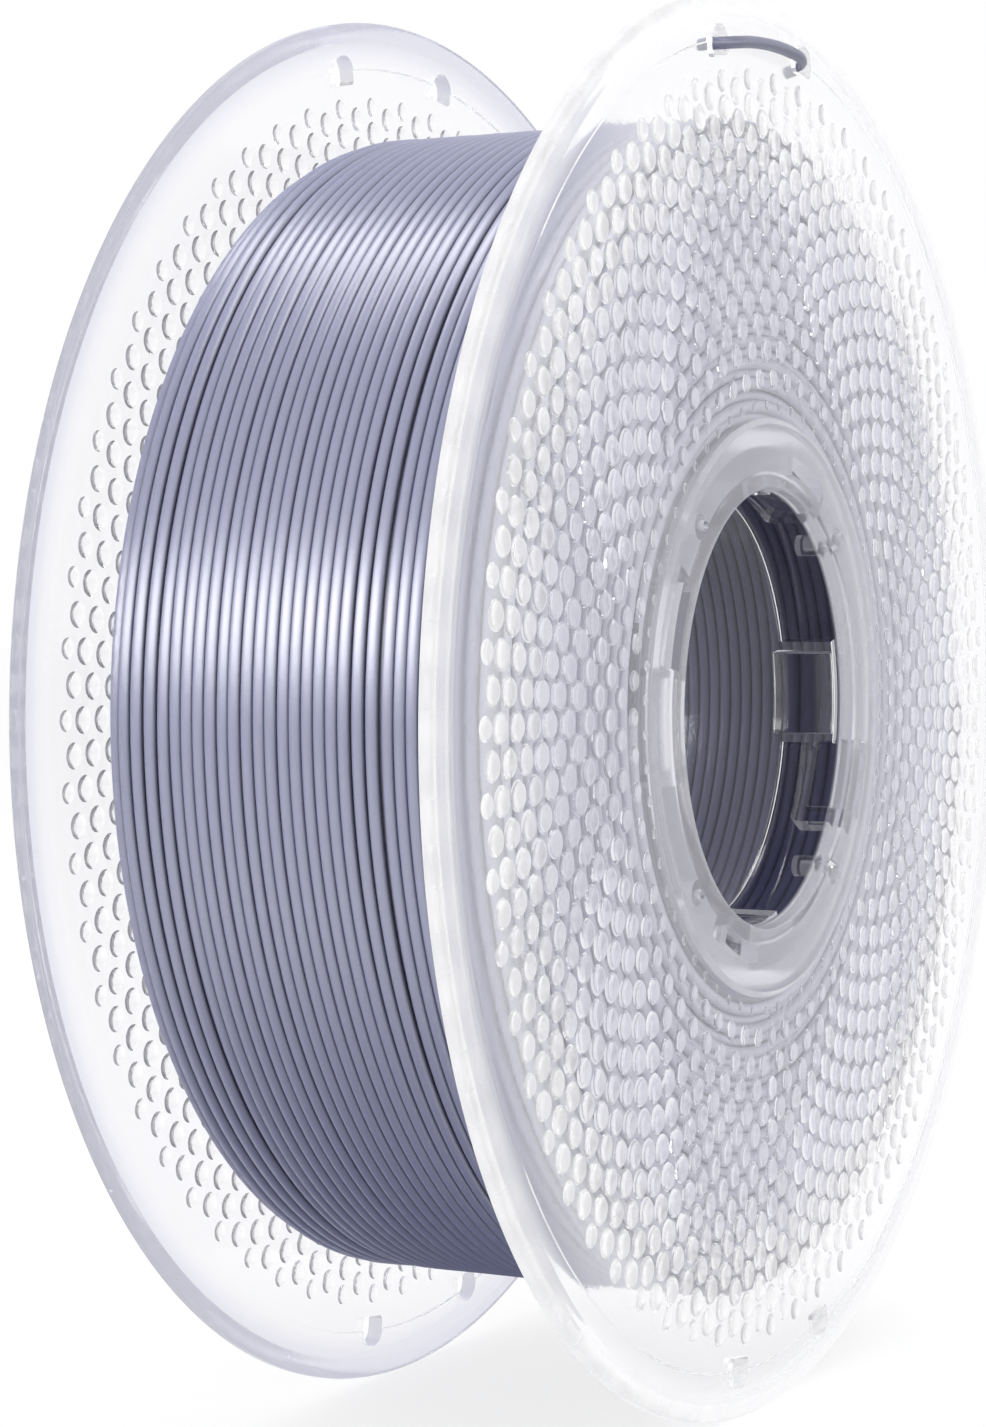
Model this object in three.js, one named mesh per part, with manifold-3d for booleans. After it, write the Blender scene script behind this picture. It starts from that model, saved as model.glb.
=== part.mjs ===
// Filament spool, twist-lock type: two clear flange halves that join with a bayonet in the hub,
// a winding of filament between them, and the filament's free end clipped through the rim.
//
// Frame: millimetres. The spool's axis is Y, the front flange is at -Y, +Z is up, and the origin
// is the middle of the spool on its axis. Angles round the axis are in degrees, from +X towards -Z,
// which is clockwise when the front flange faces the viewer. "S" is the distance from the middle
// plane: y = -S on the front side and y = +S on the back side.

import * as THREE from 'three';
import { mergeVertices } from 'three/addons/utils/BufferGeometryUtils.js';
import Module from 'manifold-3d';

const FRONT = -1;              // sign of y on each side of the middle plane
const BACK = 1;
const SEGMENTS = 48;           // facets round the spool; one lies flat at the bottom
const QUARTER_TURNS = [0, 90, 180, 270];   // the bayonet repeats four times
const GAP = 0.33;              // clearance of the sleeve and the winding from the plates
const CUT_PAST = 1;            // how far a cutter runs past the surface it opens

// ---- flanges ----
const FLANGE_R = 100;
const RIM_IN_S = 28.05;        // rim, inner face: a little thicker than the plate
const RIM_EDGE_S = 29.3;       // where the edge band ends and its outer bevel starts
const RIM_STEP = 0.5;          // radial run of the step from plate to rim
const RIM_BEVEL = 0.3;         // edge bevels, but for the outer one's radial run
const RIM_OUTER_BEVEL_RUN = 0.35;
const CHAMFER_R = 97;          // where the outer chamfer reaches the plate's outer face
const PLATE_IN_S = 28.43;      // flange plate, inner face
const PLATE_OUT_S = 30.63;     // flange plate, outer face
const HUB_FACE_S = 31.15;      // raised ring round the hub hole
const HUB_RING_R = 40.4;
const HUB_RING_SLOPE = 0.8;    // radial run of the ring's outer slope
const HOLE_R = 31;             // hub hole
const HOLE_BEVEL = 0.6;
const COLLAR_R = 33.3;         // outer radius of the short collar round the hole
const FRONT_COLLAR_S = 19.2;   // the collars' inner ends
const BACK_COLLAR_S = 25;

// clip slots through the rim: an upper pair, and a lower pair opposite
const UPPER_SLOT_ANGLES = [-101.7, -83.3];
const SLOT_ANGLES = [...UPPER_SLOT_ANGLES, ...UPPER_SLOT_ANGLES.map((angle) => angle + 180)];
const RIM_SLOT = { innerR: 91.2, roundR: 93.2, outerR: 95.6, halfWidth: 2.8 };

// ---- hub and bayonet: features of the first quarter; pairs are [from, to] ----
const SLEEVE = { innerR: 37, outerR: 40, endS: PLATE_IN_S - GAP, overlap: 0.5 };
const FRONT_OVERLAP = 0.3;     // how far hooks and posts sink into the collar and plate
const HOOK = {                 // a ledge with an end wall, which holds the lug
  outerR: 36.5,
  ledgeAngles: [11.4, 33.4],
  wallAngles: [29.1, 33.4],
  ledgeS: [24, 22.1],
};
const LUG = {                  // stands inwards in the sleeve's mouth
  innerR: 33.7,
  angles: [10.2, 28.6],
  s: [SLEEVE.endS, 24.35],
  overlap: 0.4,
};
const TONGUE = { angles: [-13.5, 8.8], s: [27.4, 17.8] };
const POCKET = {               // room in the collar for the tongue and a slot at each side
  angles: [-16.9, HOOK.ledgeAngles[0]],
  rootGap: 0.25,               // clearance along the axis at the tongue's root
  cutPast: 0.02,
};
const WINDOW = {               // opening in the ring over the hook
  radii: [33.7, 36.3],
  angles: [9.9, HOOK.wallAngles[0]],
  cutPast: 0.05,
};
const POST = {                 // hollow post beside the collar
  centreR: 35.1,
  angle: 46,
  radius: 1.6,
  sides: 12,
  endS: 24.7,
  boreR: 0.75,
  boreSides: 8,
  floor: 1.2,
};

// ---- filament ----
const STRAND_R = 0.875;        // 1.75 mm filament
const STRAND_SIDES = 8;
const TAIL_STEPS = 30;
const COIL = { innerR: SLEEVE.outerR + 0.3, outerR: 82.9, halfWidth: PLATE_IN_S - GAP };

// centre line of the free end, on the front side: [radius, angle, S]
const TAIL_PATH = [
  [92.6, -82.6, 25.6], [92.8, -83.0, 28.2], [93.0, -83.5, 30.2],
  [93.2, -85.7, 31.95], [93.3, -89.0, 31.95], [93.3, -92.5, 31.95],
  [93.2, -96.5, 31.95], [93.0, -99.4, 31.95], [92.9, -101.5, 30.2],
  [92.8, -101.9, 28.2], [92.6, -102.3, 25.8],
];

const manifold = await Module();
manifold.setup();

// ---- geometry helpers ----

// closed three.js geometry -> solid, with its faces turned outwards
function toSolid(geometry) {
  // vertices merge only where all attributes agree, so position alone is kept
  geometry.deleteAttribute('normal');
  geometry.deleteAttribute('uv');
  const { index, attributes: { position } } = mergeVertices(geometry, 1e-4);
  const corner = (vertex) => new THREE.Vector3().fromBufferAttribute(position, vertex);

  let triangles = [];
  let signedVolume = 0;
  for (let i = 0; i < index.count; i += 3) {
    const [a, b, c] = index.array.slice(i, i + 3);
    if (a === b || b === c || a === c) continue;
    triangles.push([a, b, c]);
    signedVolume += corner(a).dot(corner(b).cross(corner(c)));
  }
  if (signedVolume < 0) triangles = triangles.map(([a, b, c]) => [a, c, b]);

  return new manifold.Manifold(new manifold.Mesh({
    numProp: 3,
    vertProperties: new Float32Array(position.array),
    triVerts: new Uint32Array(triangles.flat()),
  }));
}

function toGeometry(body) {
  const { vertProperties, triVerts } = body.getMesh();
  const geometry = new THREE.BufferGeometry();
  const positions = new Float32Array(vertProperties);
  geometry.setAttribute('position', new THREE.BufferAttribute(positions, 3));
  geometry.setIndex(new THREE.BufferAttribute(new Uint32Array(triVerts), 1));
  geometry.computeVertexNormals();
  return geometry;
}

// polar place -> [x, -z]
function polar(radius, angle) {
  const radians = THREE.MathUtils.degToRad(angle);
  return [radius * Math.cos(radians), radius * Math.sin(radians)];
}

function circle(radius, sides, [centreX, centreY] = [0, 0]) {
  return Array.from({ length: sides }, (_, i) => {
    const [x, y] = polar(radius, 360 * i / sides);
    return [centreX + x, centreY + y];
  });
}

const toShape = (outline) => new THREE.Shape(outline.map(([x, y]) => new THREE.Vector2(x, y)));

const turned = (angles, turn) => angles.map((angle) => angle + turn);

// closed profile of [radius, y] pairs turned round the Y axis
function revolve(profile) {
  const points = [...profile, profile[0]].map(([radius, y]) => new THREE.Vector2(radius, y));
  return toSolid(new THREE.LatheGeometry(points, SEGMENTS, Math.PI / SEGMENTS));
}

// flat outline of [x, -z] pairs, standing between two S values on one side
function prism(outline, [s0, s1], side = FRONT) {
  const geometry = new THREE.ExtrudeGeometry(toShape(outline), {
    depth: Math.abs(s1 - s0),
    bevelEnabled: false,
  });
  geometry.rotateX(-Math.PI / 2);
  geometry.translate(0, Math.min(side * s0, side * s1), 0);
  return toSolid(geometry);
}

// piece of a ring on the front side, between two radii, angles and S values
function sector([innerR, outerR], [angle0, angle1], sRange) {
  const steps = Math.ceil((angle1 - angle0) / 5);
  const arc = (radius) => Array.from({ length: steps + 1 }, (_, i) => (
    polar(radius, angle0 + (angle1 - angle0) * i / steps)
  ));
  return prism([...arc(outerR), ...arc(innerR).reverse()], sRange);
}

// ---- flanges ----

// one flange with its hub ring and collar
function makeFlange(collarS, side) {
  const profile = [
    [HOLE_R, collarS],
    [COLLAR_R, collarS],
    [COLLAR_R, PLATE_IN_S],
    [CHAMFER_R - RIM_STEP, PLATE_IN_S],
    [CHAMFER_R, RIM_IN_S],
    [FLANGE_R - RIM_BEVEL, RIM_IN_S],
    [FLANGE_R, RIM_IN_S + RIM_BEVEL],
    [FLANGE_R, RIM_EDGE_S],
    [FLANGE_R - RIM_OUTER_BEVEL_RUN, RIM_EDGE_S + RIM_BEVEL],
    [CHAMFER_R, PLATE_OUT_S],
    [HUB_RING_R + HUB_RING_SLOPE, PLATE_OUT_S],
    [HUB_RING_R, HUB_FACE_S],
    [HOLE_R + HOLE_BEVEL, HUB_FACE_S],
    [HOLE_R, HUB_FACE_S - HOLE_BEVEL],
  ];
  return revolve(profile.map(([radius, s]) => [radius, side * s]));
}

// clip slots: square towards the hub, rounded towards the rim
function cutRimSlots(body, side) {
  const { innerR, roundR, outerR, halfWidth } = RIM_SLOT;
  const roundEnd = [-60, -30, 0, 30, 60].map((angle) => [
    roundR + polar(outerR - roundR, angle)[0],
    polar(halfWidth, angle)[1],
  ]);
  const outline = [   // [along the radius, across it]
    [innerR, -halfWidth],
    [roundR, -halfWidth],
    ...roundEnd,
    [roundR, halfWidth],
    [innerR, halfWidth],
  ];
  for (const angle of SLOT_ANGLES) {
    const [cos, sin] = polar(1, angle);
    const placed = outline.map(([along, across]) => [
      along * cos - across * sin,
      along * sin + across * cos,
    ]);
    const sRange = [HUB_FACE_S + CUT_PAST, PLATE_IN_S - CUT_PAST];
    body = body.subtract(prism(placed, sRange, side));
  }
  return body;
}

// ---- front half: flange, hub ring, collar and bayonet hooks in one moulding ----
function makeFrontHalf() {
  const hookRadii = [COLLAR_R - FRONT_OVERLAP, HOOK.outerR];
  const plateS = PLATE_IN_S + FRONT_OVERLAP;
  const outsideS = HUB_FACE_S + CUT_PAST;
  const pocketRadii = [HOLE_R - CUT_PAST, COLLAR_R + POCKET.cutPast];
  const pocketS = [TONGUE.s[0] + POCKET.rootGap, FRONT_COLLAR_S - CUT_PAST];
  const windowS = [outsideS, PLATE_IN_S - WINDOW.cutPast];

  let body = makeFlange(FRONT_COLLAR_S, FRONT);
  for (const turn of QUARTER_TURNS) {
    const postCentre = polar(POST.centreR, POST.angle + turn);
    const post = circle(POST.radius, POST.sides, postCentre);
    const bore = circle(POST.boreR, POST.boreSides, postCentre);
    body = body
      .add(sector(hookRadii, turned(HOOK.ledgeAngles, turn), HOOK.ledgeS))
      .add(sector(hookRadii, turned(HOOK.wallAngles, turn), [plateS, HOOK.ledgeS[1]]))
      .add(prism(post, [plateS, POST.endS]))
      .subtract(prism(bore, [outsideS, POST.endS + POST.floor]))
      .subtract(sector(pocketRadii, turned(POCKET.angles, turn), pocketS))
      .subtract(sector(WINDOW.radii, turned(WINDOW.angles, turn), windowS));
  }
  return toGeometry(cutRimSlots(body, FRONT));
}

// ---- back half: flange, hub ring, long sleeve and bayonet lugs in one moulding ----
function makeBackHalf() {
  const sleeve = revolve([
    [SLEEVE.innerR, -SLEEVE.endS],
    [SLEEVE.outerR, -SLEEVE.endS],
    [SLEEVE.outerR, PLATE_IN_S + SLEEVE.overlap],
    [SLEEVE.innerR, PLATE_IN_S + SLEEVE.overlap],
  ]);
  const lugRadii = [LUG.innerR, SLEEVE.innerR + LUG.overlap];

  let body = makeFlange(BACK_COLLAR_S, BACK).add(sleeve);
  for (const turn of QUARTER_TURNS) {
    body = body.add(sector(lugRadii, turned(LUG.angles, turn), LUG.s));
  }
  return toGeometry(cutRimSlots(body, BACK));
}

// ---- latch tongue: the strip of collar between two slots ----
function makeTongue(turn) {
  return toGeometry(sector([HOLE_R, COLLAR_R], turned(TONGUE.angles, turn), TONGUE.s));
}

// ---- winding: envelope of the wound filament, bevelled by a strand's radius ----
function makeCoil() {
  const { innerR, outerR, halfWidth } = COIL;
  return toGeometry(revolve([
    [innerR, -halfWidth],
    [outerR - STRAND_R, -halfWidth],
    [outerR, -halfWidth + STRAND_R],
    [outerR, halfWidth - STRAND_R],
    [outerR - STRAND_R, halfWidth],
    [innerR, halfWidth],
  ]));
}

// ---- free end of the filament, threaded through the front flange's upper pair of slots ----
function makeTail() {
  const points = TAIL_PATH.map(([radius, angle, s]) => {
    const [x, minusZ] = polar(radius, angle);
    return new THREE.Vector3(x, FRONT * s, -minusZ);
  });
  return toGeometry(toSolid(new THREE.ExtrudeGeometry(toShape(circle(STRAND_R, STRAND_SIDES)), {
    steps: TAIL_STEPS,
    bevelEnabled: false,
    extrudePath: new THREE.CatmullRomCurve3(points),
  })));
}

// ---- materials ----
const makeClearPlastic = () => new THREE.MeshStandardMaterial({
  color: 0xdcdce8,
  roughness: 0.12,
  metalness: 0,
  transparent: true,
  opacity: 0.35,
});

const makeSilkFilament = () => new THREE.MeshStandardMaterial({
  color: 0x9c9eb4,
  roughness: 0.32,
  metalness: 0.1,
});

// ---- assembly ----
const spool = new THREE.Group();

function place(name, geometry, material) {
  const mesh = new THREE.Mesh(geometry, material);
  mesh.name = name;
  spool.add(mesh);
}

place('front_half', makeFrontHalf(), makeClearPlastic());
place('back_half', makeBackHalf(), makeClearPlastic());
QUARTER_TURNS.forEach((turn, i) => {
  place(`latch_tongue_${i + 1}`, makeTongue(turn), makeClearPlastic());
});
place('filament_coil', makeCoil(), makeSilkFilament());
place('filament_tail', makeTail(), makeSilkFilament());

export default spool;
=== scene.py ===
"""A clear plastic filament spool in two halves, wound with silk filament.

The spool's axis is Y. The front flange is at -Y, the back one at +Y, and Z is up. Angles run round
the axis from +X towards -Z. Lengths are in millimetres and angles in degrees, except in the
materials, the lights and the camera, which are in metres. In outlines and profiles, s is the
distance from the middle plane towards the flange in question.
"""
import math
from types import SimpleNamespace

import bmesh
import bpy
import numpy as np
from mathutils import Matrix, Vector
from mathutils.geometry import delaunay_2d_cdt


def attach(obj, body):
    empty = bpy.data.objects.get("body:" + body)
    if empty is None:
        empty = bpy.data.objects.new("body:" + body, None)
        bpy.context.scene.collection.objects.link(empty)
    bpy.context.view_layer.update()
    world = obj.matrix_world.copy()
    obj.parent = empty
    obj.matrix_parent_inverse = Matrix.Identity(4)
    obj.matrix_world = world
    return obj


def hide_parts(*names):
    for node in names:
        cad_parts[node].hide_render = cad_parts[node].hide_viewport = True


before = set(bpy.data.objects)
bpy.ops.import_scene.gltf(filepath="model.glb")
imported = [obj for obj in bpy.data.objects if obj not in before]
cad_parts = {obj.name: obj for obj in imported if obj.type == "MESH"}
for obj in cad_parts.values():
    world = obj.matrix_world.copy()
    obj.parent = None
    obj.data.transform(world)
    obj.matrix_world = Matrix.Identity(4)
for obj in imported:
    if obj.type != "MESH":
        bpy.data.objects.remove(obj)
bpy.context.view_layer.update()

MM = 0.001
DEG = math.pi / 180
SEGMENTS = 360  # points round each turned loop of a flange
QUARTERS = 4  # the hub's fittings repeat every 90 degrees
FRONT, BACK = -1, 1  # side of the middle plane, as the sign of Y

# Flange plate, s of its faces and of the hub's end ring
PLATE_IN, PLATE_OUT, HUB_FACE = 28.43, 30.63, 31.15
FACE_R0, FACE_R1 = 40.95, 90.0  # the part of the outer face that carries the buttons
CUT_PAST = 33.0  # s that clears the outer face, for cutters

# Round buttons on the outer face: [radius of the ring they stand on, radius of a button]
BUTTON_RINGS = [
    (87.94, 1.6), (86.28, 1.98), (84.1, 2.02), (81.96, 2.02), (79.77, 2.02), (77.5, 2.02),
    (75.4, 2.02), (73.2, 2.02), (70.86, 2.02), (68.4, 2.02), (65.85, 2.02), (63.07, 2.02),
    (60.3, 2.0), (57.3, 1.92), (54.0, 1.80), (50.5, 1.65), (46.5, 1.40), (42.75, 0.75)]
BUTTONS_PER_RING = 60
BUTTON_PITCH = 360 / BUTTONS_PER_RING
BUTTON_SIDES = 20
BUTTON_STEPS = (0.93, 0.82, 0.66, 0.44)  # loops from edge to middle, as parts of the radius
BUTTON_HEIGHT, BUTTON_HEIGHT_RADIUS = 0.50, 1.9  # height of a button of that radius
BACK_BUTTON_SCALE = 0.88
BUTTON_POWER = {FRONT: 4.6, BACK: 2.3}  # a higher power gives a flatter top

# Two opposite pairs of slots in each rim
RIM_SLOTS = [middle + offset for middle in (-92.5, 87.5) for offset in (-9.2, 9.2)]

COLLAR_R0, COLLAR_R1 = 31.0, 33.3  # short wall inside the hub, on both halves
TUBE_R0, TUBE_R1 = 37.0, 40.0  # the hub's long outer tube, on the back half


# ---------------------------------------------------------------- mesh helpers
def make_object(name, verts, faces):
    """Object from vertices in mm."""
    mesh = bpy.data.meshes.new(name)
    points = np.asarray(verts, float) * MM
    mesh.from_pydata([tuple(p) for p in points], [], [tuple(int(i) for i in f) for f in faces])
    mesh.validate()
    mesh.update()
    ob = bpy.data.objects.new(name, mesh)
    bpy.context.scene.collection.objects.link(ob)
    return ob


def shade(ob, angle):
    """Smooth shading, with edges steeper than angle kept sharp."""
    mesh = ob.data
    mesh.polygons.foreach_set("use_smooth", [True] * len(mesh.polygons))
    mesh.set_sharp_from_angle(angle=math.radians(angle))
    mesh.update()


def fix_normals(ob):
    bm = bmesh.new()
    bm.from_mesh(ob.data)
    bmesh.ops.remove_doubles(bm, verts=bm.verts, dist=2e-7)
    bmesh.ops.recalc_face_normals(bm, faces=bm.faces)
    bm.to_mesh(ob.data)
    bm.free()


def finished(name, verts, faces, angle):
    ob = make_object(name, verts, faces)
    fix_normals(ob)
    shade(ob, angle)
    return ob


def apply_modifiers(ob):
    depsgraph = bpy.context.evaluated_depsgraph_get()
    mesh = bpy.data.meshes.new_from_object(ob.evaluated_get(depsgraph), depsgraph=depsgraph)
    ob.modifiers.clear()
    old = ob.data
    ob.data = mesh
    mesh.name = old.name
    bpy.data.meshes.remove(old)


def boolean(ob, tools, operation):
    """Joins the tools to the object or cuts them from it, and deletes them."""
    for tool in tools:
        modifier = ob.modifiers.new("cut", "BOOLEAN")
        modifier.operation = operation
        modifier.object = tool
        modifier.solver = "MANIFOLD"
    apply_modifiers(ob)
    for tool in tools:
        mesh = tool.data
        bpy.data.objects.remove(tool)
        bpy.data.meshes.remove(mesh)


def bevel_edges(ob, width):
    modifier = ob.modifiers.new("bevel", "BEVEL")
    modifier.width = width * MM
    modifier.segments = 2
    modifier.limit_method = "ANGLE"
    modifier.angle_limit = math.radians(40)
    apply_modifiers(ob)


def polar(r, angle, y):
    return (r * math.cos(angle * DEG), y, -r * math.sin(angle * DEG))


def bridge(loop_a, loop_b):
    """Quads between two closed loops of vertex indices."""
    n = len(loop_a)
    return [(loop_a[i], loop_a[(i + 1) % n], loop_b[(i + 1) % n], loop_b[i]) for i in range(n)]


def slab_faces(n):
    """Two end caps and the sides between two n-point outlines."""
    caps = [tuple(range(n)), tuple(range(2 * n - 1, n - 1, -1))]
    return caps + bridge(range(n), range(n, 2 * n))


def revolve(profile, count, closed=False):
    """Turns a profile of [radius, y] round the axis."""
    verts = []
    for r, y in profile:
        for i in range(count):
            t = 2 * math.pi * i / count
            verts.append((r * math.cos(t), y, -r * math.sin(t)))
    loops = [range(k * count, (k + 1) * count) for k in range(len(profile))]
    if closed:
        loops.append(loops[0])
    return verts, [face for a, b in zip(loops, loops[1:]) for face in bridge(a, b)]


def prism(outline, y0, y1, bevel=0.0, name="tool"):
    """Closed prism over an outline of [x, -z] points, from y0 to y1."""
    verts = [(u, y, -v) for y in sorted((y0, y1)) for u, v in outline]
    ob = make_object(name, verts, slab_faces(len(outline)))
    fix_normals(ob)
    if bevel:
        bevel_edges(ob, bevel)
    return ob


def sector(r0, r1, a0, a1, y0, y1, bevel=0.0, name="tool"):
    """Piece of a ring between two radii and two angles, in steps of about a degree."""
    n = max(2, int(math.ceil(a1 - a0)))
    angles = [(a0 + (a1 - a0) * i / n) * DEG for i in range(n + 1)]
    outline = [(r1 * math.cos(a), r1 * math.sin(a)) for a in angles]
    outline += [(r0 * math.cos(a), r0 * math.sin(a)) for a in reversed(angles)]
    return prism(outline, y0, y1, bevel, name)


def rod(r, angle, radius, y0, y1, sides):
    """Round rod parallel to the axis."""
    cx, cy = r * math.cos(angle * DEG), r * math.sin(angle * DEG)
    turns = [2 * math.pi * i / sides for i in range(sides)]
    return prism([(cx + radius * math.cos(t), cy + radius * math.sin(t)) for t in turns], y0, y1)


def turned_outline(local, angle):
    """Moves an outline of [distance out, distance sideways] to an angle round the axis."""
    c, s = math.cos(angle * DEG), math.sin(angle * DEG)
    return [(r * c - t * s, r * s + t * c) for r, t in local]


def arc(r, s, radius, a0, a1, n):
    """Arc of a profile, round the centre [r, s]."""
    return [(r + radius * math.cos(a * DEG), s + radius * math.sin(a * DEG))
            for a in np.linspace(a0, a1, n)]


# ---------------------------------------------------------------- buttoned face
def triangulate_face(outlines, edges, button_starts):
    """Triangles of the flat face between its borders and the buttons' outlines.

    Returns the flat points, the triangles and the place of each outline point among the points.
    """
    out_points, _, out_faces, sources, _, _ = delaunay_2d_cdt(
        [Vector(p) for p in outlines], edges, [], 0, 1e-5, True)
    points = np.array([(p.x, p.y) for p in out_points])
    triangles = np.array([f for f in out_faces if len(f) == 3])
    where = {source: i for i, group in enumerate(sources) for source in group}
    centres = points[triangles].mean(axis=1)
    r = np.hypot(centres[:, 0], centres[:, 1])
    on_face = (r > FACE_R0 * math.cos(math.pi / SEGMENTS) * 0.99999) & (r < FACE_R1)
    # a triangle whose three corners lie on one button's outline is inside that button
    owner = np.full(len(points), -1)
    for number, start in enumerate(button_starts):
        for i in range(BUTTON_SIDES):
            owner[where[start + i]] = number
    owners = owner[triangles]
    in_button = (owners[:, 0] >= 0) & (owners == owners[:, :1]).all(axis=1)
    # and one with all three on the inner border is inside the hub's opening
    on_border = np.zeros(len(points), bool)
    on_border[[where[i] for i in range(SEGMENTS)]] = True
    in_hub = on_border[triangles].all(axis=1)
    return points, triangles[on_face & ~in_button & ~in_hub], where


def buttoned_face(rings, power):
    """Flat annulus with a low round button at every place: [x, height above the face, z] points
    and faces. Its two border loops have SEGMENTS points, so that it can be sewn to a turned body.
    """
    outlines, edges = [], []

    def add_loop(radius, count, cx=0.0, cy=0.0, phase=0.0):
        start = len(outlines)
        for i in range(count):
            t = 2 * math.pi * i / count + phase
            outlines.append((cx + radius * math.cos(t), cy + radius * math.sin(t)))
        edges.extend((start + i, start + (i + 1) % count) for i in range(count))
        return start

    add_loop(FACE_R0, SEGMENTS)
    add_loop(FACE_R1, SEGMENTS)
    buttons = []
    for k, (r, radius) in enumerate(rings):
        # every other ring is turned by half a pitch
        phase = BUTTON_PITCH / 2 if k % 2 else 0.0
        for j in range(BUTTONS_PER_RING):
            angle = (BUTTON_PITCH * j + phase) * DEG
            cx, cy = r * math.cos(angle), r * math.sin(angle)
            start = add_loop(radius, BUTTON_SIDES, cx, cy, angle)
            buttons.append((start, cx, cy, radius, angle))
    points, triangles, where = triangulate_face(outlines, edges, [b[0] for b in buttons])
    verts = [(x, 0.0, -y) for x, y in points]
    faces = [tuple(t) for t in triangles]
    for start, cx, cy, radius, angle in buttons:
        height = BUTTON_HEIGHT * radius / BUTTON_HEIGHT_RADIUS
        ring = [where[start + i] for i in range(BUTTON_SIDES)]
        for part in BUTTON_STEPS:
            h = height * (1 - part ** power)
            inner = range(len(verts), len(verts) + BUTTON_SIDES)
            for i in range(BUTTON_SIDES):
                t = 2 * math.pi * i / BUTTON_SIDES + angle
                verts.append((cx + radius * part * math.cos(t), h,
                              -(cy + radius * part * math.sin(t))))
            faces += bridge(ring, inner)
            ring = inner
        tip = len(verts)
        verts.append((cx, height, -cy))
        faces += [(ring[i], ring[(i + 1) % BUTTON_SIDES], tip) for i in range(BUTTON_SIDES)]
    return verts, faces


# ---------------------------------------------------------------- flanges
# Profile of the rim bead, from the plate's inner face round to the outer face: [radius, s]
RIM_BEAD = [
    (93.2, PLATE_IN), (93.45, PLATE_IN - 0.14), (96.2, PLATE_IN - 0.16), (96.6, PLATE_IN - 0.3),
    (97.0, 28.05),
    *arc(99.65, 28.4, 0.35, -90, 0, 6),
    *arc(99.3, 29.15, 0.7, 0, 60, 6),
    (98.3, 30.12), (97.5, 30.45),
    *arc(96.9, 29.9, 0.73, 68, 90, 4)]


def collar_profile(end):
    """[radius, s] over the hub's end ring, down the collar's bore and round its inner end."""
    return [(40.4, HUB_FACE - 0.12), (40.15, HUB_FACE), (31.6, HUB_FACE), (31.25, HUB_FACE - 0.1),
            (COLLAR_R0, HUB_FACE - 0.45), (COLLAR_R0, end + 0.2), (COLLAR_R0 + 0.15, end),
            (COLLAR_R1 - 0.15, end), (COLLAR_R1, end + 0.2)]


def turned_flange(name, side, hub):
    """Closed flange: hub is the profile from the buttoned face's inner border round the hub to
    the plate's inner face."""
    profile = [(FACE_R0, PLATE_OUT), *hub, (60.0, PLATE_IN), (FACE_R1, PLATE_IN), *RIM_BEAD,
               (FACE_R1, PLATE_OUT)]
    verts, faces = revolve([(r, side * s) for r, s in profile], SEGMENTS)
    scale = BACK_BUTTON_SCALE if side == BACK else 1.0
    rings = [(r, radius * scale) for r, radius in BUTTON_RINGS]
    face_verts, face_faces = buttoned_face(rings, BUTTON_POWER[side])
    base = len(verts)
    verts += [(x, side * (PLATE_OUT + h), z) for x, h, z in face_verts]
    faces += [tuple(base + i for i in f) for f in face_faces]
    ob = make_object(name, verts, faces)
    fix_normals(ob)
    return ob


def slot_tool(angle, y0, y1):
    """Rim slot: square inner end with clipped corners, round outer end."""
    inner, round_from, outer, half, clip = 91.2, 93.2, 95.6, 2.8, 0.5
    local = [(inner, -half + clip), (inner + clip, -half), (round_from, -half)]
    for i in range(1, 12):
        t = (-90 + 15 * i) * DEG
        local.append((round_from + (outer - round_from) * math.cos(t), half * math.sin(t)))
    local += [(round_from, half), (inner + clip, half), (inner, half - clip)]
    return prism(turned_outline(local, angle), y0, y1)


def finish_flange(ob, adds, cuts):
    boolean(ob, adds, "UNION")
    boolean(ob, cuts, "DIFFERENCE")
    shade(ob, 24)
    return ob


# ---------------------------------------------------------------- front half
# Bayonet hook on the collar, a ledge with an end wall and a rounded corner: [angle, s]
HOOK = [(11.4, 24.0), (29.1, 24.0), (29.1, 28.9), (33.4, 28.9), (33.4, 23.4), (33.1, 22.6),
        (32.4, 22.15), (31.6, 22.1), (11.4, 22.1)]
HOOK_R0, HOOK_R1 = 33.0, 36.5


def hook_tool(turn):
    """The hook's outline bent round the collar, in steps of about a degree."""
    points = []
    for (a0, s0), (a1, s1) in zip(HOOK, HOOK[1:] + HOOK[:1]):
        n = max(1, int(abs(a1 - a0)))
        points += [(a0 + (a1 - a0) * i / n, s0 + (s1 - s0) * i / n) for i in range(n)]
    verts = [polar(r, a + turn, -s) for r in (HOOK_R0, HOOK_R1) for a, s in points]
    ob = make_object("hook", verts, slab_faces(len(points)))
    bm = bmesh.new()
    bm.from_mesh(ob.data)
    # the curved end walls aren't flat, so they are split into triangles
    walls = [f for f in bm.faces if len(f.verts) > 4]
    bmesh.ops.triangulate(bm, faces=walls, ngon_method="EAR_CLIP")
    bmesh.ops.recalc_face_normals(bm, faces=bm.faces)
    bm.to_mesh(ob.data)
    bm.free()
    return ob


def groove_tool():
    """Shallow radial groove on the inner face, wider towards the rim."""
    r0, r1, half0, half1, angle, depth = 43.0, 81.7, 2.9, 3.65, 84.7, 0.55
    local = [(r0, -half0), (r1, -half1), (r1, half1), (r0, half0)]
    return prism(turned_outline(local, angle), -PLATE_IN - depth, -27.5)


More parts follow.
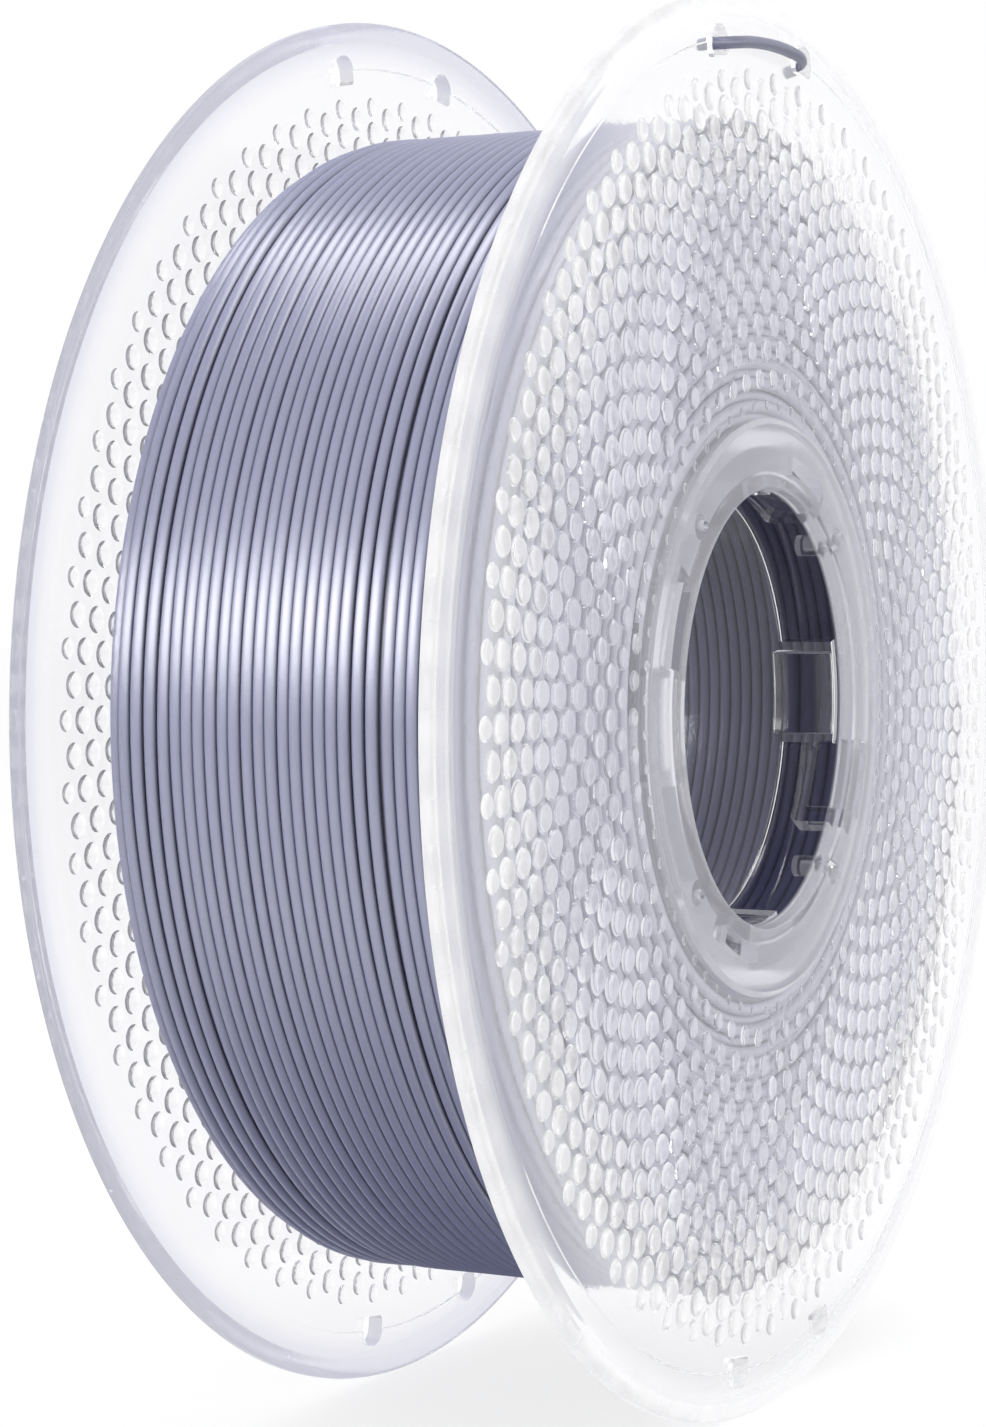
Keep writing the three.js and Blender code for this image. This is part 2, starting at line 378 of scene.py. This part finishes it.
def build_front():
    hub = collar_profile(19.2) + [(COLLAR_R1, PLATE_IN - 0.35), (33.65, PLATE_IN)]
    ob = turned_flange("flange_front", FRONT, hub)
    adds, cuts = [], []
    for q in range(QUARTERS):
        turn = 90 * q
        adds.append(hook_tool(turn))
        # post with a bore from the outer face
        adds.append(rod(35.1, 46 + turn, 1.75, -29.5, -24.6, sides=32))
        cuts.append(rod(35.3, 46 + turn, 0.75, -CUT_PAST, -25.6, sides=20))
        # gap in the collar round a tongue
        cuts.append(sector(29.5, COLLAR_R1 + 0.04, -16.9 + turn, 11.4 + turn, -27.65, -18.0))
        # window through the end ring over the hook
        cuts.append(sector(33.7, 36.3, 9.9 + turn, 29.1 + turn, -CUT_PAST, -28.4))
    cuts += [slot_tool(angle, -CUT_PAST, -27) for angle in RIM_SLOTS]
    cuts.append(groove_tool())
    return finish_flange(ob, adds, cuts)


# ---------------------------------------------------------------- back half and tongues
def build_back():
    # the tube runs from the back plate to the front one, so its end has a negative s
    tube_end = -28.1
    hub = collar_profile(25.0) + [
        (COLLAR_R1, PLATE_IN), (TUBE_R0, PLATE_IN), (TUBE_R0, tube_end + 0.2),
        (TUBE_R0 + 0.2, tube_end), (TUBE_R1 - 0.2, tube_end), (TUBE_R1, tube_end + 0.2),
        (TUBE_R1, PLATE_IN - 0.4), (40.4, PLATE_IN)]
    ob = turned_flange("flange_back", BACK, hub)
    # lugs inside the tube's front end
    lugs = [sector(33.7, 37.3, 10.2 + 90 * q, 28.6 + 90 * q, -28.05, -24.35, bevel=0.15)
            for q in range(QUARTERS)]
    slots = [slot_tool(angle, 27, CUT_PAST) for angle in RIM_SLOTS]
    return finish_flange(ob, lugs, slots)


def build_tongue(q):
    turn = 90 * q
    ob = sector(COLLAR_R0, COLLAR_R1, -13.5 + turn, 8.8 + turn, -27.4, -17.8,
                bevel=0.22, name=f"tongue_{q + 1}_clear")
    shade(ob, 24)
    return ob


# ---------------------------------------------------------------- filament
STRAND = 0.875  # radius each layer is spaced by; the strands are drawn slightly thinner
LAYER_STRAND, END_STRAND, TAIL_STRAND = 0.872, 0.865, 0.86
WIND_HALF = 27.2  # half the winding's width, to the middle of the end turns
LAYER_STEP = 1.5
OUTER_LAYER = 82.85 - STRAND
INNER_LAYER = 40.35 + STRAND
TURNS = 30  # in the outer layer
FULL_TURNS = 31  # in the other layers

# Gaps in the outer layer: turn, angle at the gap's middle, half width in degrees, size in mm
GAPS = [(8, 186, 110, 0.42), (9, 190, 90, 0.22), (10, 184, 80, 0.20), (18, 150, 90, 0.14),
        (25, 140, 70, 0.20), (26, 176, 110, 0.26), (27, 184, 105, 0.28), (28, 178, 110, 0.26)]
# Turns that sink between their neighbours: turn, angle at the middle, half width, depth in mm
SUNK = [(7, 195, 80, 0.22), (13, 120, 70, 0.16), (20, 215, 60, 0.14), (24, 140, 80, 0.35),
        (25, 215, 70, 0.25)]


def tube(path, radius, sides, closed):
    """Round strand along a path of points: vertices and faces."""
    path = np.asarray(path, float)
    n = len(path)
    if closed:
        tangent = np.roll(path, -1, 0) - np.roll(path, 1, 0)
    else:
        tangent = np.gradient(path, axis=0)
    tangent /= np.linalg.norm(tangent, axis=1, keepdims=True)
    normal = np.cross(tangent, np.array([0.0, 1.0, 0.0]))
    normal /= np.linalg.norm(normal, axis=1, keepdims=True)
    binormal = np.cross(normal, tangent)
    t = np.linspace(0, 2 * math.pi, sides, endpoint=False)[None, :, None]
    rings = path[:, None, :] + radius * (
        np.cos(t) * normal[:, None, :] + np.sin(t) * binormal[:, None, :])
    loops = [range(i * sides, (i + 1) * sides) for i in range(n)]
    if closed:
        loops.append(loops[0])
    faces = [face for a, b in zip(loops, loops[1:]) for face in bridge(a, b)]
    if not closed:
        faces.append(tuple(range(sides)))
        faces.append(tuple(range(n * sides - 1, (n - 1) * sides - 1, -1)))
    return rings.reshape(-1, 3), faces


def merge(parts):
    verts, faces, base = [], [], 0
    for part_verts, part_faces in parts:
        verts.append(part_verts)
        faces += [tuple(base + i for i in f) for f in part_faces]
        base += len(part_verts)
    return np.vstack(verts), faces


def ease(x):
    x = np.clip(x, 0, 1)
    return x * x * (3 - 2 * x)


def near(theta, centre, half):
    """1 where the angle is at centre, 0 beyond half on either side."""
    away = np.abs((np.degrees(theta) - centre + 180) % 360 - 180)
    return 1 - ease(away / half)


def wobble(count, amplitude, seed):
    """Smooth random offset along a strand of count points, with a knot every 24."""
    knot_count = max(4, count // 24)
    knots = np.random.default_rng(seed).normal(0, amplitude, knot_count)
    x = np.linspace(0, knot_count - 1, count)
    i = np.clip(x.astype(int), 0, knot_count - 2)
    f = ease(x - i)
    return knots[i] * (1 - f) + knots[i + 1] * f


def layer(r, seed, steps, sides, amplitude, turns=FULL_TURNS, phase=0.0, sag=None, spread=None):
    """One layer wound as a helix from -Y to +Y, with steps points to a turn."""
    count = turns * steps + 1
    turn = np.linspace(0, turns, count)
    theta = turn * 2 * math.pi + phase
    y = -WIND_HALF + 2 * WIND_HALF * turn / turns + wobble(count, amplitude, seed)
    if spread:
        y = y + spread(turn, theta)
    radius = r + wobble(count, amplitude * 0.8, seed + 1)
    if sag:
        radius = radius + sag(turn, theta, y)
    y = np.clip(y, -WIND_HALF, WIND_HALF)
    path = np.stack([radius * np.cos(theta), y, -radius * np.sin(theta)], 1)
    return tube(path, LAYER_STRAND, sides, closed=False)


def outer_sag(turn, theta, y):
    """The last turns, beside the back flange, lie deeper, and the sunk ones dip."""
    offset = -1.25 * ease((y - 23.5) / 3.5)
    for number, centre, half, depth in SUNK:
        offset = offset - depth * near(theta, centre, half) * (
            (turn >= number) & (turn < number + 1))
    return offset


def outer_spread(turn, theta):
    """Each gap pushes the later turns on, and all the turns share in making room for it."""
    total, offset = np.zeros_like(turn), np.zeros_like(turn)
    for number, centre, half, size in GAPS:
        gap = size * near(theta, centre, half)
        total = total + gap
        offset = offset + gap * (turn >= number)
    return offset - total * turn / TURNS


def winding_ends():
    """Rings of strand that show at the two ends of the winding."""
    theta = np.linspace(0, 2 * math.pi, 180, endpoint=False)
    rings = []
    for side in (FRONT, BACK):
        for k, r in enumerate(np.arange(INNER_LAYER, OUTER_LAYER - 2.0, 1.52)):
            # every other ring lies 0.8 mm deeper
            y = side * (WIND_HALF - (0.0 if k % 2 else 0.8))
            radius = r + (0.06 * np.sin(theta * 3 + k * 1.7) + 0.05 * np.sin(theta * 5 + k))
            path = np.stack([radius * np.cos(theta), y + 0.05 * np.sin(theta * 2 + k * 2.1),
                             -radius * np.sin(theta)], 1)
            rings.append(tube(path, END_STRAND, 8, closed=True))
    return merge(rings)


def build_winding():
    outer = merge([
        layer(OUTER_LAYER, seed=11, steps=170, sides=14, amplitude=0.035, turns=TURNS,
              sag=outer_sag, spread=outer_spread),
        layer(OUTER_LAYER - LAYER_STEP, seed=21, steps=120, sides=8, amplitude=0.03, phase=0.35),
        layer(OUTER_LAYER - 2 * LAYER_STEP, seed=31, steps=100, sides=6, amplitude=0.02)])
    inner = merge([
        layer(INNER_LAYER, seed=41, steps=120, sides=12, amplitude=0.03),
        layer(INNER_LAYER + LAYER_STEP, seed=51, steps=96, sides=8, amplitude=0.03,
              phase=math.pi)])
    # dark mass between the layers: the filament deep in the winding, drawn dark as painted shade
    r0, r1, half = 42.6, 78.6, 26.4
    core = revolve([(r0, -half), (r1, -half), (r1, half), (r0, half)], 128, closed=True)
    pieces = [("winding_outer", outer), ("winding_inner", inner),
              ("winding_ends", winding_ends()), ("winding_core", core)]
    return [finished(name, *mesh, angle=60) for name, mesh in pieces]


def spline(points, n):
    """Catmull-Rom curve through the points, n steps to a span."""
    p = np.asarray(points, float)
    last = len(p) - 1
    out = []
    for k in range(last):
        p0, p1, p2, p3 = p[max(k - 1, 0)], p[k], p[k + 1], p[min(k + 2, last)]
        for i in range(n):
            t = i / n
            out.append(0.5 * (2 * p1 + (p2 - p0) * t + (2 * p0 - 5 * p1 + 4 * p2 - p3) * t * t
                              + (3 * p1 - p0 - 3 * p2 + p3) * t ** 3))
    out.append(p[-1])
    return np.array(out)


# The loose end, out through one rim slot and back in through the next: [radius, angle, y]
TAIL_PATH = [
    (91.9, -82.9, -26.2), (92.4, -83.1, -28.4), (92.7, -83.9, -30.6), (92.8, -86.0, -31.75),
    (92.8, -89.0, -31.9), (92.8, -92.5, -31.9), (92.8, -96.5, -31.85), (92.8, -99.6, -31.6),
    (92.9, -101.6, -30.4), (93.0, -102.2, -28.4), (92.9, -102.5, -26.4)]


def build_tail():
    path = spline([polar(*station) for station in TAIL_PATH], 10)
    return finished("filament_end_strand", *tube(path, TAIL_STRAND, 14, closed=False), angle=50)


# ---------------------------------------------------------------- shader helpers
class Nodes:
    """Fills the node tree of a material or world. An input given as a socket is linked, any
    other is set. All methods but node() return an output socket."""

    def __init__(self, owner):
        owner.use_nodes = True
        self.owner = owner
        self.tree = owner.node_tree
        self.tree.nodes.clear()

    def node(self, kind, inputs=None, **props):
        node = self.tree.nodes.new("ShaderNode" + kind)
        for key, value in props.items():
            setattr(node, key, value)
        for key, value in (inputs or {}).items():
            if isinstance(value, bpy.types.NodeSocket):
                self.tree.links.new(value, node.inputs[key])
            else:
                node.inputs[key].default_value = value
        return node

    def add(self, kind, inputs=None, output=0, **props):
        return self.node(kind, inputs, **props).outputs[output]

    def calc(self, operation, *values, **props):
        return self.add("Math", dict(enumerate(values)), operation=operation, **props)

    def vector(self, operation, *values, output="Vector"):
        return self.add("VectorMath", dict(enumerate(values)), output, operation=operation)

    def xyz(self, x, y, z):
        return self.add("CombineXYZ", {"X": x, "Y": y, "Z": z})

    def noise(self, coords, scale, detail, roughness=0.5):
        return self.add("TexNoise", {"Vector": coords, "Scale": scale, "Detail": detail,
                                     "Roughness": roughness})

    def remap(self, value, between, to=(0.0, 1.0), **props):
        return self.add("MapRange", {
            "Value": value, "From Min": between[0], "From Max": between[1],
            "To Min": to[0], "To Max": to[1]}, **props)

    def smooth(self, value, between, to=(0.0, 1.0)):
        return self.remap(value, between, to, interpolation_type="SMOOTHSTEP")

    def bump(self, height, strength, distance, **normal):
        return self.add("Bump", {"Height": height, "Strength": strength,
                                 "Distance": distance, **normal})

    def blend(self, factor, a, b):
        """Mix of two RGB colours."""
        return self.add("Mix", {"Factor": factor, "A": (*a, 1), "B": (*b, 1)}, "Result",
                        data_type="RGBA")

    def ramp(self, value, stops):
        """Colour ramp over (position, RGB colour) stops."""
        node = self.node("ValToRGB", {"Fac": value})
        elements = node.color_ramp.elements
        while len(elements) < len(stops):
            elements.new(0.5)
        for element, (position, colour) in zip(elements, stops):
            element.position = position
            element.color = (*colour, 1)
        return node.outputs["Color"]

    def grey_ramp(self, value, stops):
        return self.ramp(value, [(position, (v, v, v)) for position, v in stops])

    def glow(self, colour, strength):
        return self.add("Emission", {"Color": colour, "Strength": strength})

    def mix(self, factor, a, b):
        """Mix of two shaders."""
        return self.add("MixShader", {0: factor, 1: a, 2: b})

    def first_mirror(self):
        """1 for a mirror ray that hasn't passed through the clear plastic."""
        ray = self.node("LightPath").outputs
        direct = self.calc("LESS_THAN", ray["Transmission Depth"], 0.5)
        return self.calc("MULTIPLY", ray["Is Glossy Ray"], direct)

    def finish(self, surface, kind="OutputMaterial"):
        self.node(kind, {"Surface": surface})
        return self.owner


def new_material(name):
    return Nodes(bpy.data.materials.new(name))


# ---------------------------------------------------------------- clear plastic
# Roughness before variation: (radius in m, value)
SATIN = [(0.0, 0.05), (0.0400, 0.05), (0.0410, 0.04), (0.0895, 0.04), (0.0905, 0.10),
         (0.0960, 0.10), (0.0985, 0.08)]


def plastic_zones(m, coords):
    """Sockets that tell where on the spool a point lies."""
    place = m.node("SeparateXYZ", {"Vector": coords}).outputs
    zones = SimpleNamespace(x=place["X"], z=place["Z"])
    zones.radius = m.vector("LENGTH", m.xyz(zones.x, 0.0, zones.z), output="Value")
    zones.side = m.calc("ABSOLUTE", place["Y"])
    zones.end_ring = m.calc("GREATER_THAN", zones.side, 0.0284)
    zones.plate = m.calc("GREATER_THAN", zones.radius, 0.0412)
    return zones


def plastic_roughness(m, zones, broad):
    """The hub's end rings are satin, its walls clear."""
    in_hub = m.calc("SUBTRACT", 1.0, zones.plate)
    ring_only = m.calc("MULTIPLY", in_hub, zones.end_ring)
    ring_satin = m.calc("MULTIPLY", ring_only, 0.17)
    base = m.calc("ADD", m.grey_ramp(zones.radius, SATIN), ring_satin)
    return m.calc("MULTIPLY", base, m.remap(broad, between=(0.3, 0.7), to=(0.75, 1.3)))


def plastic_body(m, zones, broad, normal, ray, trapped_light_tone, ior):
    rough = plastic_roughness(m, zones, broad)
    tint = m.blend(broad, (0.965, 0.965, 0.985), (0.98, 0.98, 0.99))
    glass = m.add("BsdfPrincipled", {
        "Base Color": tint, "Roughness": rough, "Normal": normal, "IOR": ior,
        "Transmission Weight": 1.0})
    # seen directly, the surface outside the collar shows a painted reflection: a white glow,
    # weighted by Fresnel, stands in for the even white room it mirrors
    bend = m.add("BsdfRefraction", {"Color": tint, "Roughness": rough, "IOR": ior,
                                    "Normal": normal})
    painted_room_reflection = m.glow((0.985, 0.985, 1.0, 1), strength=0.97)
    direct = m.mix(m.add("Fresnel", {"IOR": ior, "Normal": normal}), bend, painted_room_reflection)
    outside = m.calc("GREATER_THAN", zones.radius, 0.0345)
    first = m.calc("MULTIPLY", ray["Is Camera Ray"], outside)
    # shadow rays pass straight through
    clear = m.add("BsdfTransparent", {"Color": (0.93, 0.93, 0.955, 1)})
    body = m.mix(ray["Is Shadow Ray"], m.mix(first, glass, direct), clear)
    # painted light: a ray that has bounced this often inside the plate ends in a flat glow,
    # which stands in for the light that comes from all round the white room
    deep = m.calc("GREATER_THAN", ray["Ray Depth"], 5.5)
    return m.mix(deep, body, m.glow((*trapped_light_tone, 1), strength=1.0))


def milk_and_glow(m, colour, normal, glow_share):
    """Haze, part lit skin and part even glow; the glow is painted light."""
    skin = m.add("BsdfDiffuse", {"Color": colour, "Normal": normal})
    return m.mix(glow_share, skin, m.glow(colour, strength=0.95))


def haze_glow_amount(m, zones, haze_glow_stops, unseen, painted_rim_glints):
    haze_glow_ramp = m.grey_ramp(zones.radius, [(r, amount) for r, amount, _ in haze_glow_stops])
    gated = m.calc("MULTIPLY", haze_glow_ramp, m.calc("MAXIMUM", zones.end_ring, zones.plate))
    amount = m.calc("MULTIPLY", gated, unseen)
    if not painted_rim_glints:
        return amount
    # painted highlights: the rim carries soft bright patches, one to every button pitch, which
    # stand in for reflections of the outer buttons in the rim
    angle = m.calc("ARCTAN2", zones.z, zones.x)
    wave = m.calc("COSINE", m.calc("MULTIPLY", angle, float(BUTTONS_PER_RING)))
    rim = m.smooth(zones.radius, between=(0.096, 0.0972), to=(0.0, painted_rim_glints))
    glint_patches = m.calc("MULTIPLY", m.calc("MULTIPLY", wave, rim), unseen)
    return m.calc("ADD", amount, glint_patches, use_clamp=True)


def with_glowing_tops(m, zones, shader, normal, unseen, top_glow):
    """Makes the tops of the buttons milky and glowing, a painted highlight, whiter towards the
    rim.
    """
    crown = m.smooth(zones.side, between=(0.03080, 0.03100), to=(0.0, top_glow))
    amount = m.calc("MULTIPLY", m.calc("MULTIPLY", crown, zones.plate), unseen)
    whiten = (0.068, 0.080)
    red_green = m.smooth(zones.radius, between=whiten, to=(0.84, 1.0))
    blue = m.smooth(zones.radius, between=whiten, to=(0.93, 1.0))
    colour = m.xyz(red_green, red_green, blue)
    return m.mix(amount, shader, milk_and_glow(m, colour, normal, glow_share=0.7))


def clear_plastic(name, haze_glow_stops, top_glow, trapped_light_tone, ior, painted_rim_glints=0.0):
    """haze_glow_stops: (radius in m, amount of haze, its colour)."""
    m = new_material(name)
    coords = m.add("TexCoord", output="Object")
    ray = m.node("LightPath").outputs
    broad = m.noise(coords, scale=38.0, detail=3.0, roughness=0.55)
    fine = m.noise(coords, scale=900.0, detail=2.0, roughness=0.6)
    grain = m.bump(fine, strength=0.03, distance=0.0003)
    normal = m.bump(broad, strength=0.06, distance=0.001, Normal=grain)
    zones = plastic_zones(m, coords)
    body = plastic_body(m, zones, broad, normal, ray, trapped_light_tone, ior)
    # the moulding is a little milky, by an amount that changes from the hub to the rim; the haze
    # is partly painted light, a glow whose colour and amount also paint the light the plate
    # catches
    unseen = m.calc("SUBTRACT", 1.0, ray["Is Shadow Ray"])
    colour = m.ramp(zones.radius, [(r, tone) for r, _, tone in haze_glow_stops])
    haze_glow = milk_and_glow(m, colour, normal, glow_share=0.6)
    amount = haze_glow_amount(m, zones, haze_glow_stops, unseen, painted_rim_glints)
    hazy_glowing = m.mix(amount, body, haze_glow)
    return m.finish(with_glowing_tops(m, zones, hazy_glowing, normal, unseen, top_glow))


# ---------------------------------------------------------------- silk filament
def silk_gap_shade(m, coords, colour, facing):
    """Painted shade: darkens the sides hidden between the strands, which the neighbouring strands
    shade;
    facing is +1 where the open side looks outwards and -1 where it looks towards the hub."""
    here = m.node("SeparateXYZ", {"Vector": coords["Object"]}).outputs
    outwards = m.vector("NORMALIZE", m.xyz(here["X"], 0.0, here["Z"]))
    dot = m.vector("DOT_PRODUCT", outwards, coords["Normal"], output="Value")
    signed = m.calc("MULTIPLY", dot, float(facing))
    unshaded = m.smooth(signed, between=(0.05, 0.75), to=(0.38, 1.0))
    return m.vector("MULTIPLY", colour, m.xyz(unshaded, unshaded, unshaded))


def silk(name, dark=1.0, tones=((0.105, 0.11, 0.22), (0.14, 0.145, 0.27)), metal=0.0,
         facing=None, roughness=(0.32, 0.40), ior=3.0):
    """dark scales the two tones that the colour varies between."""
    m = new_material(name)
    coords = m.node("TexCoord").outputs
    broad = m.noise(coords["Object"], scale=25.0, detail=4.0, roughness=0.6)
    fine = m.noise(coords["Object"], scale=1500.0, detail=2.0, roughness=0.6)
    colour = m.blend(broad, *(tuple(c * dark for c in tone) for tone in tones))
    if facing:
        colour = silk_gap_shade(m, coords, colour, facing)
    inputs = {"Base Color": colour,
              "Roughness": m.remap(broad, between=(0.3, 0.7), to=roughness),
              "Normal": m.bump(fine, strength=0.12, distance=0.0001),
              "Metallic": metal, "IOR": ior}
    if facing == 1:
        # drawn strand: the sheen spreads across the strand and stays narrow along it
        inputs["Tangent"] = m.add("Tangent", direction_type="RADIAL", axis="Y")
        inputs["Anisotropic"] = 0.85
        inputs["Anisotropic Rotation"] = 0.25
    return m.finish(m.add("BsdfPrincipled", inputs))


# ---------------------------------------------------------------- the spool's materials
LAVENDER, WHITE = (0.60, 0.60, 0.71), (1.0, 1.0, 1.0)
HUB, RIM = (0.70, 0.70, 0.78), (0.70, 0.70, 0.84)
# (radius in m, amount of haze, its colour); the haze is partly painted light: it mostly glows,
# it is whiter towards the rim, where white shows through past the winding, and the front's
# strongest band, on the rim bead, is a painted highlight
FRONT_HAZE_GLOW = [
    (0.0, 0.0, HUB), (0.0300, 0.18, HUB), (0.0400, 0.18, HUB),
    (0.0415, 0.07, LAVENDER), (0.0700, 0.06, LAVENDER), (0.0770, 0.03, WHITE),
    (0.0820, 0.06, WHITE), (0.0860, 0.24, WHITE), (0.0890, 0.24, WHITE), (0.0905, 0.03, WHITE),
    (0.0955, 0.03, WHITE), (0.0970, 0.44, WHITE), (0.0990, 0.44, WHITE)]
BACK_HAZE_GLOW = [
    (0.0, 0.0, HUB), (0.0270, 0.10, HUB), (0.0400, 0.10, HUB),
    (0.0415, 0.0, WHITE), (0.0890, 0.0, WHITE), (0.0905, 0.20, WHITE), (0.0965, 0.20, WHITE),
    (0.0974, 0.30, RIM), (0.0996, 0.30, RIM)]

CLEAR_FRONT = clear_plastic("clear_moulded_plastic", FRONT_HAZE_GLOW, top_glow=0.44,
                            trapped_light_tone=(0.23, 0.23, 0.26), ior=1.5, painted_rim_glints=0.05)
CLEAR_BACK = clear_plastic("clear_moulded_plastic_back", BACK_HAZE_GLOW, top_glow=0.22,
                           trapped_light_tone=(0.15, 0.15, 0.175), ior=1.585)
SILK = silk("silk_filament", facing=1)
SILK_TAIL = silk("silk_filament_end", dark=0.6, ior=2.0)
# painted shade: the filament deep between the layers, at a quarter of its tone
SILK_CORE = silk("silk_filament_core", dark=0.25)
SILK_ENDS = silk("silk_filament_ends", tones=((0.56, 0.56, 0.65), (0.66, 0.66, 0.74)),
                 metal=0.5, roughness=(0.38, 0.48))
# painted shade: a darker copy of the filament for the turns inside the hub, which lie in the hub's
# shade
SILK_HUB = silk("silk_filament_hub_side", dark=0.85,
                tones=((0.095, 0.10, 0.215), (0.125, 0.13, 0.27)), facing=-1, ior=1.7)


# ---------------------------------------------------------------- assembly
def dress(ob, material, body, slot, *nodes):
    """Gives a piece its material and ties it to its CAD body."""
    ob.data.materials.clear()
    ob.data.materials.append(material)
    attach(ob, body)
    if nodes:
        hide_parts(*nodes)


dress(build_front(), CLEAR_FRONT, "front", "clear_plastic", "front_half")
dress(build_back(), CLEAR_BACK, "back", "clear_plastic", "back_half")
for q in range(QUARTERS):
    dress(build_tongue(q), CLEAR_BACK, f"tongue_{q + 1}", "clear_plastic", f"latch_tongue_{q + 1}")
wound_outer, wound_inner, wound_ends, wound_core = build_winding()
dress(wound_outer, SILK, "front", "silk_filament", "filament_coil")
dress(wound_inner, SILK_HUB, "front", "silk_filament")
dress(wound_ends, SILK_ENDS, "front", "silk_filament")
dress(wound_core, SILK_CORE, "front", "silk_filament")
dress(build_tail(), SILK_TAIL, "front", "silk_filament", "filament_tail")


# ---------------------------------------------------------------- floor
def floor_material():
    m = new_material("pale_floor")
    coords = m.add("TexCoord", output="Object")
    colour = m.blend(m.noise(coords, scale=6.0, detail=2.0),
                     (0.93, 0.93, 0.935), (0.95, 0.95, 0.955))
    matt = m.add("BsdfPrincipled", {"Base Color": colour, "Roughness": 0.7})
    # lit evenly from below so that it stays pale under the spool
    pale = m.mix(0.75, matt, m.glow((1.0, 1.0, 1.0, 1), strength=0.97))
    # painted shadow: seen in the filament's mirror, the floor is dim, and darker still close under
    # the spool, where the spool shades it
    away = m.vector("LENGTH", m.vector("MULTIPLY", coords, (1.0, 1.0, 0.0)), output="Value")
    shadow_lift = m.smooth(away, between=(0.03, 0.19), to=(0.21, 0.68))
    painted_floor_shadow = m.add("BsdfDiffuse", {"Color": m.xyz(shadow_lift, shadow_lift, shadow_lift)})
    return m.finish(m.mix(m.first_mirror(), pale, painted_floor_shadow))


FLOOR_HALF, FLOOR_Z = 6000, -100
floor = make_object("floor", [(x * FLOOR_HALF, y * FLOOR_HALF, FLOOR_Z)
                              for x, y in ((-1, -1), (1, -1), (1, 1), (-1, 1))], [(0, 1, 2, 3)])
floor.data.materials.append(floor_material())


# ---------------------------------------------------------------- world
def build_world():
    world = bpy.data.worlds.new("studio")
    m = Nodes(world)
    coords = m.add("TexCoord", output="Generated")
    direction = m.node("SeparateXYZ", {0: coords}).outputs
    dx, dz = direction["X"], direction["Z"]

    def fade_out(value, between):
        return m.calc("SUBTRACT", 1.0, m.smooth(value, between))

    # what the filament mirrors: a soft room, dimmer overhead,
    room = m.calc("SUBTRACT", 1.14, m.calc("MULTIPLY", m.smooth(dz, (0.45, 0.85)), 0.34))
    # a long low band of light that rises towards -X and fades out towards +X,
    minus_x = m.calc("MAXIMUM", m.calc("MULTIPLY", dx, -1.0), 0.0)
    low_edge = m.calc("MULTIPLY", minus_x, 0.155)
    high_edge = m.calc("ADD", m.calc("MULTIPLY", minus_x, 0.25), 0.21)
    band = m.calc("MULTIPLY", m.smooth(m.calc("SUBTRACT", dz, low_edge), (-0.04, 0.04)),
                  fade_out(m.calc("SUBTRACT", dz, high_edge), (-0.08, 0.08)))
    band = m.calc("MULTIPLY", band, fade_out(dx, (0.3, 0.9)))
    # and a narrow strip overhead
    strip = m.calc("MULTIPLY", m.smooth(dx, (-0.04, 0.04)), fade_out(dx, (0.16, 0.26)))
    strip = m.calc("MULTIPLY", m.smooth(dz, (0.35, 0.6)), strip)
    lights = m.calc("ADD", m.calc("MULTIPLY", band, 3.4), m.calc("MULTIPLY", strip, 3.3))
    studio = m.calc("ADD", room, lights)
    # the clear plastic and the camera see an even white tent
    mirrored = m.first_mirror()
    level = m.calc("ADD", m.calc("MULTIPLY", studio, mirrored),
                   m.calc("SUBTRACT", 1.0, mirrored))
    background = m.add("Background", {"Color": (1.0, 1.0, 1.0, 1), "Strength": level})
    return m.finish(background, "OutputWorld")


scene = bpy.context.scene
scene.world = build_world()


# ---------------------------------------------------------------- lights, camera, render
def softbox(name, location, width, power):
    """Rectangular light aimed at the origin and unseen in mirrors."""
    light = bpy.data.lights.new(name, "AREA")
    light.shape = "RECTANGLE"
    light.size, light.size_y = width, 0.35
    light.energy = power
    ob = bpy.data.objects.new(name, light)
    ob.location = location
    ob.rotation_mode = "QUATERNION"
    ob.rotation_quaternion = (-Vector(location)).to_track_quat("-Z", "Y")
    ob.visible_glossy = False
    scene.collection.objects.link(ob)


softbox("softbox_left", location=(-0.95, 0.35, 0.28), width=0.7, power=4.0)
softbox("softbox_top", location=(0.15, -0.1, 0.9), width=0.9, power=5.0)

# The camera's right, up and backward axes and its place, as the four columns
CAMERA_POSE = Matrix(((0.460841, 0.030217, -0.886968, -0.443393),
                      (-0.887483, 0.015691, -0.460574, -0.216276),
                      (0.0, 0.999420, 0.034048, 0.015556),
                      (0, 0, 0, 1)))
lens = bpy.data.cameras.new("camera")
camera = bpy.data.objects.new("camera", lens)
scene.collection.objects.link(camera)
lens.lens = 85.303
lens.sensor_width = 36.0
lens.clip_start, lens.clip_end = 0.01, 50
camera.matrix_world = CAMERA_POSE
scene.camera = camera

# many bounces, so that light gets through both flanges
scene.cycles.max_bounces = 24
scene.cycles.glossy_bounces = 16
scene.cycles.transmission_bounces = 20
scene.cycles.transparent_max_bounces = 16
scene.cycles.diffuse_bounces = 4
scene.cycles.sample_clamp_indirect = 6.0
scene.view_settings.view_transform = "Standard"
scene.view_settings.look = "None"
